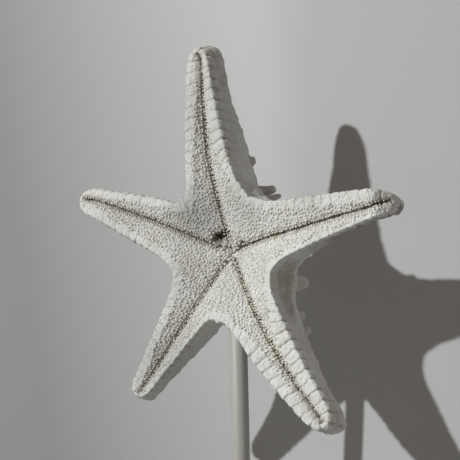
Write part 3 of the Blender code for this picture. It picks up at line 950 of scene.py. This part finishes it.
def surface_samples(mesh, data, count, chance):
    """Random points spread evenly over the skin, with normals and what they are."""
    faces = [face for face in mesh.polygons if len(face.vertices) == 4]
    corners = np.array([face.vertices[:] for face in faces])
    area = np.array([face.area for face in faces])
    normal = np.array([face.normal[:] for face in faces])
    points = np.array([vert.co[:] for vert in mesh.vertices])
    picked = chance.choice(len(faces), count, p=area / area.sum())
    a, b = chance.uniform(0, 1, (2, count))
    weights = np.stack(((1 - a) * (1 - b), a * (1 - b), a * b, (1 - a) * b))
    quads = corners[picked]
    places = np.einsum("kn,nkc->nc", weights, points[quads])
    about = SimpleNamespace(
        ring=data.ring[quads].mean(axis=1),
        off=np.abs(data.y[quads]).mean(axis=1),
        arm=data.arm[quads[:, 0]],
        side=data.side[quads[:, 0]],
        inside=data.inside[quads].mean(axis=1),
        step=data.step[quads].mean(axis=1),
    )
    return places, normal[picked], about


def spaced(places, spacing, taken):
    """Indices of the places that keep their spacing, in order. taken holds those
    already set, in columns along Y as wide as the widest spacing."""
    cell = GRANULE_SIZES[0][1]
    kept = []
    keys = np.floor(places[:, (0, 2)] / cell).astype(int).tolist()
    for index, (place, (column, row)) in enumerate(zip(places.tolist(), keys)):
        near = (
            other
            for side in (column - 1, column, column + 1) for level in (row - 1, row, row + 1)
            for other in taken.get((side, level), ())
        )
        if all(math.dist(place, other) > spacing for other in near):
            taken.setdefault((column, row), []).append(place)
            kept.append(index)
    return kept


def granule_spots(mesh, data, count, chance):
    """Places on the underside that granules may take, with their normals."""
    places, normals, about = surface_samples(mesh, data, count, chance)
    limit = plate_reach(about) - GRANULES_OVERLAP
    limit = limit + chance.uniform(-GRANULES_RAGGED, GRANULES_RAGGED, count)
    fits = (about.ring < 1) & (about.off > GRANULES_OFF_FURROW) & (about.inside > limit)
    fits = fits & (patches(places, MOUTH_HOLLOWS) < GRANULES_OFF_HOLLOWS)
    return places[fits], normals[fits]


def granules(mesh, data, finish):
    """Granules over the underside between the furrows and the edge plates, one piece
    for each size."""
    chance = np.random.RandomState(GRANULE_SEED)
    taken = {}
    for number, (tries, spacing, radius, height, sides, rings) in enumerate(GRANULE_SIZES):
        places, normals = granule_spots(mesh, data, tries, chance)
        kept = spaced(places, spacing, taken)
        where, stand = places[kept], normals[kept]
        wide = radius * chance.uniform(*GRANULE_WIDTHS, (len(kept), 2))
        tall = height * chance.uniform(*GRANULE_HEIGHTS, (len(kept), 1))
        turns = turns_towards(stand, chance)
        name = f"granules_{number + 1}"
        template = sphere_template(sides, rings, upper_half=True)
        scales = np.hstack((wide, tall))
        tiles = tiled(name, template, where - stand * GRANULE_SINK, turns, scales)
        new_piece(name, tiles, finish)


def beside_furrow(arm, side, off, spacing):
    """Steps and rings of points spaced along the regular arm, off its furrow's middle."""
    step = np.linspace(*FURROW_STEPS)
    rib = rib_at(arm, side, step)
    share = off / np.maximum(rib.y, off)
    across = share * rib.length
    x = rib.spine + (rib.x - rib.spine) * share
    start, stop = FURROW_SPINES_SPAN
    wanted = np.arange(start + off, stop, spacing)
    step = np.interp(wanted, x, step)
    across = np.interp(wanted, x, across)
    rib = rib_at(arm, side, step)
    beyond = (across - rib.span) / (rib.flat - rib.span)
    outer = FURROW_COLUMN + (1 - FURROW_COLUMN) * beyond
    return step, np.where(across < rib.span, FURROW_COLUMN * across / rib.span, outer)


def frame_from(along, up):
    """Rotation matrices with +X along one direction and +Z as near up as it can be."""
    first = along / np.linalg.norm(along, axis=1, keepdims=True)
    third = up - first * (first * up).sum(axis=1, keepdims=True)
    third /= np.linalg.norm(third, axis=1, keepdims=True)
    return np.stack((first, np.cross(third, first), third), axis=2)


def spine_row(arm, side, row, chance):
    """Places, turns and scales of one row of spines beside a furrow."""
    off, spacing, length, width, thickness = row
    step, ring = beside_furrow(arm, side, off, spacing)
    count = len(step)
    x, y, height, _ = regular_form(arm, np.full(count, side), step, ring)
    x = x + chance.uniform(-SPINE_STRAY, SPINE_STRAY, count) * spacing
    y = y + chance.uniform(-SPINE_STRAY_ACROSS, SPINE_STRAY_ACROSS, count)
    whose = np.full(count, arm)
    foot = lie_of_arm(whose, x, y, height)
    tip = lie_of_arm(whose, x, y - side * length, height + SPINE_RISE * length)
    turns = frame_from(tip - foot, np.tile(FORWARD, (count, 1)))
    scales = np.array((length, width, thickness)) * chance.uniform(*SPINE_SIZES, (count, 3))
    return (foot + tip) / 2, turns, scales


def furrow_spines(finish):
    """Rows of small pale spines that close each furrow from both sides."""
    chance = np.random.RandomState(SPINE_SEED)
    rows = []
    for arm in range(ARM_COUNT):
        for side in (-1, 1):
            skipped = 1 if side == OPEN_SIDES[arm] else 0
            for row in FURROW_SPINE_ROWS[skipped:]:
                rows.append(spine_row(arm, side, row, chance))
    places, turns, scales = (np.concatenate(part) for part in zip(*rows))
    template = sphere_template(SPINE_SIDES, SPINE_RINGS)
    tiles = tiled("furrow_spines", template, places, turns, scales)
    new_piece("furrow_spines", tiles, finish)


def on_front(surface, x, z):
    """Point of the skin seen from the front at x and z from the centre."""
    start = Vector((BODY_X + x, PROBE_START, BODY_Z + z))
    return surface.ray_cast(start, Vector((0, 1, 0)))[0]


def jaw_spines(surface, chance):
    """Feet and tips of the spines on the five jaws between the furrows."""
    feet, tips = [], []
    for arm in range(ARM_COUNT):
        # The last arm's direction is given past a whole turn, the first one's is not
        turn = (ARMS[arm][1] + ARMS[(arm + 1) % ARM_COUNT][1]) / 2
        turn = math.radians(turn + (HALF_TURN if arm == ARM_COUNT - 1 else 0))
        for _ in range(JAW_SPINES):
            away = chance.uniform(*JAW_FEET)
            angle = turn + chance.uniform(-JAW_SPREAD, JAW_SPREAD)
            inner = away - chance.uniform(*JAW_REACHES)
            foot, top = (
                on_front(surface, distance * math.cos(angle), distance * math.sin(angle))
                for distance in (away, inner)
            )
            feet.append(foot)
            tips.append(top - Vector((0, chance.uniform(*JAW_LIFTS), 0)))
    return feet, tips


def rosette_beads(surface, chance):
    """Feet and tips of the beads round the mouth."""
    count, middle_x, middle_z, half_x, half_z = ROSETTE
    feet, tips = [], []
    for _ in range(count):
        angle = chance.uniform(0, 2 * math.pi)
        away = math.sqrt(chance.uniform(0, 1))
        x = middle_x + half_x * away * math.cos(angle)
        z = middle_z + half_z * away * math.sin(angle)
        foot = on_front(surface, x, z)
        aside = Vector((chance.uniform(-1, 1), -BEAD_FORWARD, chance.uniform(-1, 1)))
        feet.append(foot)
        tips.append(foot + aside.normalized() * chance.uniform(*BEAD_LIFTS))
    return feet, tips


def mouth_spines(mesh, finish):
    """Spines that point at the mouth, and the rosette of beads round it."""
    chance = np.random.RandomState(SPINE_SEED + 1)
    corners = [vert.co for vert in mesh.vertices]
    surface = BVHTree.FromPolygons(corners, [face.vertices for face in mesh.polygons])
    jaw_feet, jaw_tips = jaw_spines(surface, chance)
    bead_feet, bead_tips = rosette_beads(surface, chance)
    feet = np.array(jaw_feet + bead_feet)
    tips = np.array(jaw_tips + bead_tips)
    thick = np.repeat((JAW_SPINE_RADIUS, BEAD_RADIUS), (len(jaw_feet), len(bead_feet)))
    thick = thick[:, None] * chance.uniform(*MOUTH_SPINE_WIDTHS, (len(feet), 2))
    length = MOUTH_SPINE_STRETCH * np.linalg.norm(tips - feet, axis=1) / 2
    turns = frame_from(tips - feet, np.tile(FORWARD, (len(feet), 1)))
    scales = np.column_stack((length, thick))
    template = sphere_template(SPINE_SIDES, SPINE_RINGS)
    tiles = tiled("mouth_spines", template, (feet + tips) / 2, turns, scales)
    new_piece("mouth_spines", tiles, finish)


def skin_point(arm, side, step, ring):
    """World place of one point of the starfish's plain surface."""
    form = regular_form(arm, np.array([side]), np.array([step]), np.array([ring]))
    return lie_of_arm([arm], *form[:3])[0]


def knob_stand(arm, side, step, ring):
    """Foot of a knob on the skin and the direction that it stands in."""
    root = skin_point(arm, side, step, ring)
    along = skin_point(arm, side, step - KNOB_PROBE, ring) - root
    around = skin_point(arm, side, step, ring - KNOB_PROBE) - root
    inside = (skin_point(arm, side, step, 0) + skin_point(arm, side, step, 3)) / 2
    out = np.cross(along, around)
    return root, out * np.sign(np.dot(out, root - inside)) / np.linalg.norm(out)


def knob_template():
    """Points and faces of one knob, its outline spun round +Z."""
    cage = bmesh.new()
    line = [cage.verts.new((radius, 0, height)) for radius, height in KNOB_PROFILE]
    edges = [cage.edges.new(pair) for pair in zip(line, line[1:])]
    bmesh.ops.spin(
        cage, geom=line + edges, cent=(0, 0, 0), axis=(0, 0, 1), angle=2 * math.pi,
        steps=KNOB_SEGMENTS, use_merge=True,
    )
    bmesh.ops.remove_doubles(cage, verts=cage.verts, dist=KNOB_WELD)
    bmesh.ops.recalc_face_normals(cage, faces=cage.faces)
    inside_out = sum(face.normal.z for face in cage.faces) < 0
    points, faces = template_of(cage)
    if inside_out:
        faces = [face[::-1] for face in faces]
    return points, faces


def knobs(finish):
    """Blunt knobs of the back."""
    chance = random.Random(KNOB_SEED)
    spin = np.random.RandomState(KNOB_SEED)
    roots, normals, scales = [], [], []
    for arm in range(ARM_COUNT):
        spots = [(1, *knob) for knob in RIDGE_KNOBS]
        for side in (-1, 1):
            own = OWN_FLANK_KNOBS.get((ARMS[arm][0], side), FLANK_KNOBS)
            spots += [(side, *knob) for knob in own]
        for side, step, ring, radius, height in spots:
            root, out = knob_stand(arm, side, step, ring)
            roots.append(root)
            normals.append(out)
            scales.append((radius, radius, height * chance.uniform(*KNOB_VARIATION)))
    turns = turns_towards(np.array(normals), spin)
    mesh = tiled("knobs", knob_template(), np.array(roots), turns, np.array(scales))
    points = np.array([vert.co[:] for vert in mesh.vertices])
    lumps = [noise_at(points, KNOB_LUMP_SIZE, shift) for shift in KNOB_LUMP_SHIFTS]
    points = points + KNOB_LUMPS * np.stack(lumps, axis=1)
    mesh.vertices.foreach_set("co", points.ravel())
    new_piece("knobs", mesh, finish)


def fine_rod(finish):
    """The rod with a rounder section and eased ends."""
    low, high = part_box("rod")
    cage = bmesh.new()
    bmesh.ops.create_cone(
        cage, cap_ends=True, segments=ROD_SEGMENTS, radius1=ROD_RADIUS, radius2=ROD_RADIUS,
        depth=high[2] - low[2], matrix=Matrix.Translation((0, 0, (low[2] + high[2]) / 2)),
    )
    rims = [edge for edge in cage.edges if abs(edge.verts[0].co.z - edge.verts[1].co.z) < TINY]
    bmesh.ops.bevel(
        cage, geom=rims, offset=ROD_EASE, segments=2, profile=0.5, affect="EDGES", material=-1,
    )
    mesh = mesh_of("painted_rod", cage)
    piece = new_piece("painted_rod", mesh, finish)
    mesh.set_sharp_from_angle(angle=SHARP_ANGLE)
    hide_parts("rod")


def node_group(name, inputs, outputs):
    """Empty shader group with named sockets: its tree, input node and output node."""
    tree = bpy.data.node_groups.new(name, "ShaderNodeTree")
    for label, kind in inputs:
        tree.interface.new_socket(name=label, in_out="INPUT", socket_type=kind)
    for label, kind in outputs:
        tree.interface.new_socket(name=label, in_out="OUTPUT", socket_type=kind)
    return tree, tree.nodes.new("NodeGroupInput"), tree.nodes.new("NodeGroupOutput")


def noise_node(tree, vector, scale, detail):
    """Value of a noise of that scale and detail."""
    node = tree.nodes.new("ShaderNodeTexNoise")
    node.inputs["Scale"].default_value = scale
    node.inputs["Detail"].default_value = detail
    tree.links.new(vector, node.inputs["Vector"])
    return node.outputs["Fac"]


def math_node(tree, operation, first, second):
    """Value of a sum, product or the like of two values or sockets."""
    node = tree.nodes.new("ShaderNodeMath")
    node.operation = operation
    for socket, value in zip(node.inputs, (first, second)):
        if isinstance(value, (int, float)):
            socket.default_value = value
        else:
            tree.links.new(value, socket)
    return node.outputs[0]


def range_node(tree, value, low, high, to_low=0.0, to_high=1.0):
    """Value taken from one range to another."""
    node = tree.nodes.new("ShaderNodeMapRange")
    node.inputs["From Min"].default_value = low
    node.inputs["From Max"].default_value = high
    node.inputs["To Min"].default_value = to_low
    node.inputs["To Max"].default_value = to_high
    tree.links.new(value, node.inputs["Value"])
    return node.outputs["Result"]


def mix_node(tree, share, first, second):
    """Colour between two colours or sockets, mixed by a share that is a socket."""
    node = tree.nodes.new("ShaderNodeMix")
    node.data_type = "RGBA"
    factor, start, end = (node.inputs[place] for place in MIX_SOCKETS)
    tree.links.new(share, factor)
    for socket, value in ((start, first), (end, second)):
        if isinstance(value, tuple):
            socket.default_value = (*value, 1)
        else:
            tree.links.new(value, socket)
    return node.outputs[MIX_RESULT]


def bump_node(tree, height, strength, distance):
    """Normal of a surface that is roughened by a height."""
    node = tree.nodes.new("ShaderNodeBump")
    node.inputs["Strength"].default_value = strength
    node.inputs["Distance"].default_value = distance
    tree.links.new(height, node.inputs["Height"])
    return node.outputs["Normal"]


def chalk_group():
    """Grain of dried stony skin: fine height, patches of tone and small pores."""
    tree, start, end = node_group(
        "chalk_grain",
        (("Vector", "NodeSocketVector"),),
        (("Height", "NodeSocketFloat"), ("Patches", "NodeSocketFloat")),
    )
    vector = start.outputs["Vector"]
    cells = tree.nodes.new("ShaderNodeTexVoronoi")
    cells.inputs["Scale"].default_value = PORE_SCALE
    tree.links.new(vector, cells.inputs["Vector"])
    pores = range_node(tree, cells.outputs["Distance"], *PORE_RANGE)
    fine = math_node(tree, "MULTIPLY", noise_node(tree, vector, *GRAIN_NOISE), GRAIN_SHARE)
    pitted = math_node(tree, "MULTIPLY", pores, PORE_SHARE)
    height = math_node(tree, "ADD", fine, pitted)
    height = math_node(tree, "ADD", height, noise_node(tree, vector, *ROUGH_NOISE))
    tree.links.new(height, end.inputs["Height"])
    tones = range_node(tree, noise_node(tree, vector, *PATCH_NOISE), *PATCH_RANGE)
    tree.links.new(tones, end.inputs["Patches"])
    return tree


def plain_material(name):
    """New node material, its tree and its shader."""
    made = bpy.data.materials.new(name)
    made.use_nodes = True
    return made, made.node_tree, made.node_tree.nodes["Principled BSDF"]


def object_vector(tree):
    """Object coordinates."""
    return tree.nodes.new("ShaderNodeTexCoord").outputs["Object"]


def mask_node(tree, name):
    """Value of a mask that is stored on the mesh."""
    node = tree.nodes.new("ShaderNodeAttribute")
    node.attribute_name = name
    return node.outputs["Fac"]


def chalk_material(name, group, light, shade, darkening_share, grain, furrow=False):
    """Dead matte stony skin with grime and painted shade in its hollows and, if asked, dark
    furrows of grime and painted shade.
    """
    made, tree, shader = plain_material(name)
    vector = object_vector(tree)
    chalk = tree.nodes.new("ShaderNodeGroup")
    chalk.node_tree = group
    tree.links.new(vector, chalk.inputs["Vector"])
    colour = mix_node(tree, chalk.outputs["Patches"], light, shade)
    # Painted shade: the skin greys in soft patches seen from the front
    colour = mix_node(tree, mask_node(tree, "painted_shade"), colour, PAINTED_SHADE_COLOUR)
    smudge = range_node(tree, noise_node(tree, vector, *SMUDGE_NOISE), *SMUDGE_RANGE)
    # Dirt and painted shade in hollows: seams, grooves, ground between granules and copies' feet
    darkening = math_node(tree, "MULTIPLY", mask_node(tree, "dirt_and_shade"), smudge)
    colour = mix_node(tree, math_node(tree, "MULTIPLY", darkening, darkening_share), colour, DIRT_AND_SHADE_COLOUR)
    if furrow:
        # Dark brown of the furrows, partly dirt and partly painted shade, and painted shade of
        # the mouth and two flanks
        brown = math_node(tree, "MULTIPLY", mask_node(tree, "furrow"), smudge)
        colour = mix_node(tree, brown, colour, FURROW_DIRT_AND_SHADE_COLOUR)
    tree.links.new(colour, shader.inputs["Base Color"])
    tree.links.new(bump_node(tree, chalk.outputs["Height"], 1.0, grain), shader.inputs["Normal"])
    shader.inputs["Roughness"].default_value = CHALK_ROUGHNESS
    shader.inputs["Specular IOR Level"].default_value = CHALK_SPECULAR
    return made


def paint_material():
    """Satin off-white paint with faint brush marks along Z and a few small stains."""
    made, tree, shader = plain_material("satin_paint")
    vector = object_vector(tree)
    stretch = tree.nodes.new("ShaderNodeMapping")
    stretch.inputs["Scale"].default_value = BRUSH_STRETCH
    tree.links.new(vector, stretch.inputs["Vector"])
    brush = noise_node(tree, stretch.outputs["Vector"], *BRUSH_NOISE)
    stain = range_node(tree, noise_node(tree, vector, *STAIN_NOISE), *STAIN_RANGE)
    stain = math_node(tree, "MULTIPLY", stain, PAINT_STAIN_SHARE)
    streaks = range_node(tree, brush, *BRUSH_RANGE, *BRUSH_TONES)
    tone = mix_node(tree, streaks, PAINT, CHALK_SHADE)
    tone = mix_node(tree, stain, tone, PAINT_STAIN)
    gloss = range_node(tree, brush, *BRUSH_RANGE, *BRUSH_GLOSS)
    tree.links.new(tone, shader.inputs["Base Color"])
    tree.links.new(gloss, shader.inputs["Roughness"])
    tree.links.new(bump_node(tree, brush, BRUSH_STRENGTH, BRUSH_DEPTH), shader.inputs["Normal"])
    return made


def matte_set_material(name):
    """Matte finish of the set that still needs its colour, its tree and its shader."""
    made, tree, shader = plain_material(name)
    shader.inputs["Roughness"].default_value = SET_ROUGHNESS
    shader.inputs["Specular IOR Level"].default_value = SET_SPECULAR
    return made, tree, shader


def floor_material():
    """Pale matte floor that throws only a little light back up."""
    made, tree, shader = matte_set_material("floor_finish")
    seen = tree.nodes.new("ShaderNodeLightPath").outputs["Is Camera Ray"]
    colour = mix_node(tree, seen, FLOOR_BOUNCE_COLOUR, FLOOR_COLOUR)
    tree.links.new(colour, shader.inputs["Base Color"])
    return made


def wall_material():
    """Matte wall with painted light and shade, dim to the left and a little darker past a
    soft step on the right, that can't be seen from behind.
    """
    made, tree, shader = matte_set_material("wall_painted_light_and_shade")
    place = tree.nodes.new("ShaderNodeSeparateXYZ")
    tree.links.new(object_vector(tree), place.inputs[0])
    across, _, up = place.outputs
    leaning = math_node(tree, "ADD", across, math_node(tree, "MULTIPLY", up, WALL_PAINTED_SHADE_LEAN))
    # Painted light and shade: dim to the left, brightest near the stand
    lit = range_node(tree, leaning, *WALL_PAINTED_SHADE_LEFT)
    tone = mix_node(tree, lit, WALL_PAINTED_SHADE_COLOUR, WALL_COLOUR)
    step = range_node(tree, across, *WALL_PAINTED_SHADE_STEP)
    tree.links.new(mix_node(tree, step, tone, WALL_RIGHT_PAINTED_SHADE_COLOUR), shader.inputs["Base Color"])
    clear = tree.nodes.new("ShaderNodeBsdfTransparent")
    choose = tree.nodes.new("ShaderNodeMixShader")
    facing = tree.nodes.new("ShaderNodeNewGeometry")
    tree.links.new(facing.outputs["Backfacing"], choose.inputs[0])
    tree.links.new(shader.outputs[0], choose.inputs[1])
    tree.links.new(clear.outputs[0], choose.inputs[2])
    tree.links.new(choose.outputs[0], tree.nodes["Material Output"].inputs["Surface"])
    return made


def direction_of(azimuth, elevation):
    """Direction from the starfish towards something seen at those angles."""
    return Vector((
        math.sin(azimuth) * math.cos(elevation),
        -math.cos(azimuth) * math.cos(elevation),
        math.sin(elevation),
    ))


def camera_stand():
    """Turn and place of the camera."""
    back = direction_of(CAMERA_AZIMUTH, CAMERA_ELEVATION)
    turn = (-back).to_track_quat("-Z", "Y")
    middle = PHOTO_SIZE / 2
    turn = turn @ Quaternion((0, 1, 0), math.atan((CENTRE_PIXEL[0] - middle) / FOCAL_PIXELS))
    turn = turn @ Quaternion((1, 0, 0), math.atan((CENTRE_PIXEL[1] - middle) / FOCAL_PIXELS))
    turn = turn @ Quaternion((0, 0, 1), CAMERA_ROLL)
    place = Vector((BODY_X, BODY_Y, BODY_Z)) + back * CAMERA_DISTANCE
    return turn, place


def photo_camera():
    """Camera of the photograph, with its plain tones."""
    scene = bpy.context.scene
    turn, place = camera_stand()
    lens = bpy.data.cameras.new("camera")
    lens.sensor_width = SENSOR
    lens.lens = SENSOR * FOCAL_PIXELS / PHOTO_SIZE
    lens.clip_start = NEAR_LIMIT
    camera = bpy.data.objects.new("camera", lens)
    camera.location = place
    camera.rotation_euler = turn.to_euler()
    scene.collection.objects.link(camera)
    scene.camera = camera
    scene.view_settings.view_transform = "Standard"


def key_light():
    """Small soft light from above on the left."""
    towards = direction_of(KEY_AZIMUTH, KEY_ELEVATION)
    lamp = bpy.data.lights.new("key", "AREA")
    lamp.size = KEY_SIZE
    lamp.energy = KEY_POWER
    lamp.color = KEY_COLOUR
    key = bpy.data.objects.new("key", lamp)
    key.location = Vector((BODY_X, BODY_Y, BODY_Z)) + towards * KEY_DISTANCE
    key.rotation_euler = (-towards).to_track_quat("-Z", "Y").to_euler()
    bpy.context.scene.collection.objects.link(key)


def fill_light():
    """Warm even light from all round."""
    world = bpy.data.worlds.new("world")
    world.use_nodes = True
    background = world.node_tree.nodes["Background"]
    background.inputs["Color"].default_value = (*FILL_COLOUR, 1)
    background.inputs["Strength"].default_value = FILL_STRENGTH
    bpy.context.scene.world = world


def set_plane(name, place, size, finish):
    """Square plane of the set, which isn't part of the object."""
    cage = bmesh.new()
    bmesh.ops.create_grid(cage, x_segments=1, y_segments=1, size=size / 2, matrix=place)
    mesh = mesh_of(name, cage)
    mesh.materials.append(finish)
    plane = bpy.data.objects.new(name, mesh)
    bpy.context.scene.collection.objects.link(plane)


def wall_and_floor():
    """Pale wall behind the stand and pale floor under it."""
    facing = Vector((WALL_TURN, -1, WALL_LEAN))
    turn = facing.to_track_quat("Z", "Y").to_matrix().to_4x4()
    place = Matrix.Translation((0, WALL_PLACE, BODY_Z))
    set_plane("wall", place @ turn, WALL_SIZE, wall_material())
    set_plane("floor", Matrix.Identity(4), FLOOR_SIZE, floor_material())


def starfish():
    """Skin of the starfish and all that grows on it."""
    chalk = chalk_group()
    skin_finish = chalk_material("bleached_skin", chalk, *SKIN_FINISH, furrow=True)
    granule_finish = chalk_material("bleached_granules", chalk, *GRANULE_FINISH)
    spine_finish = chalk_material("cream_spines", chalk, *SPINE_FINISH)
    mesh, data = starfish_skin()
    skin = new_piece("starfish_skin", mesh, skin_finish)
    granules(mesh, data, granule_finish)
    furrow_spines(spine_finish)
    mouth_spines(mesh, spine_finish)
    knobs(skin_finish)
    cut_rod_hole(skin)
    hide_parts("starfish")


def stand(base):
    """Painted rod and base."""
    paint = paint_material()
    fine_rod(paint)
    base.data.materials.clear()
    base.data.materials.append(paint)


def main():
    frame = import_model()
    starfish()
    stand(frame["nodes"]["base"])
    photo_camera()
    key_light()
    fill_light()
    wall_and_floor()


main()
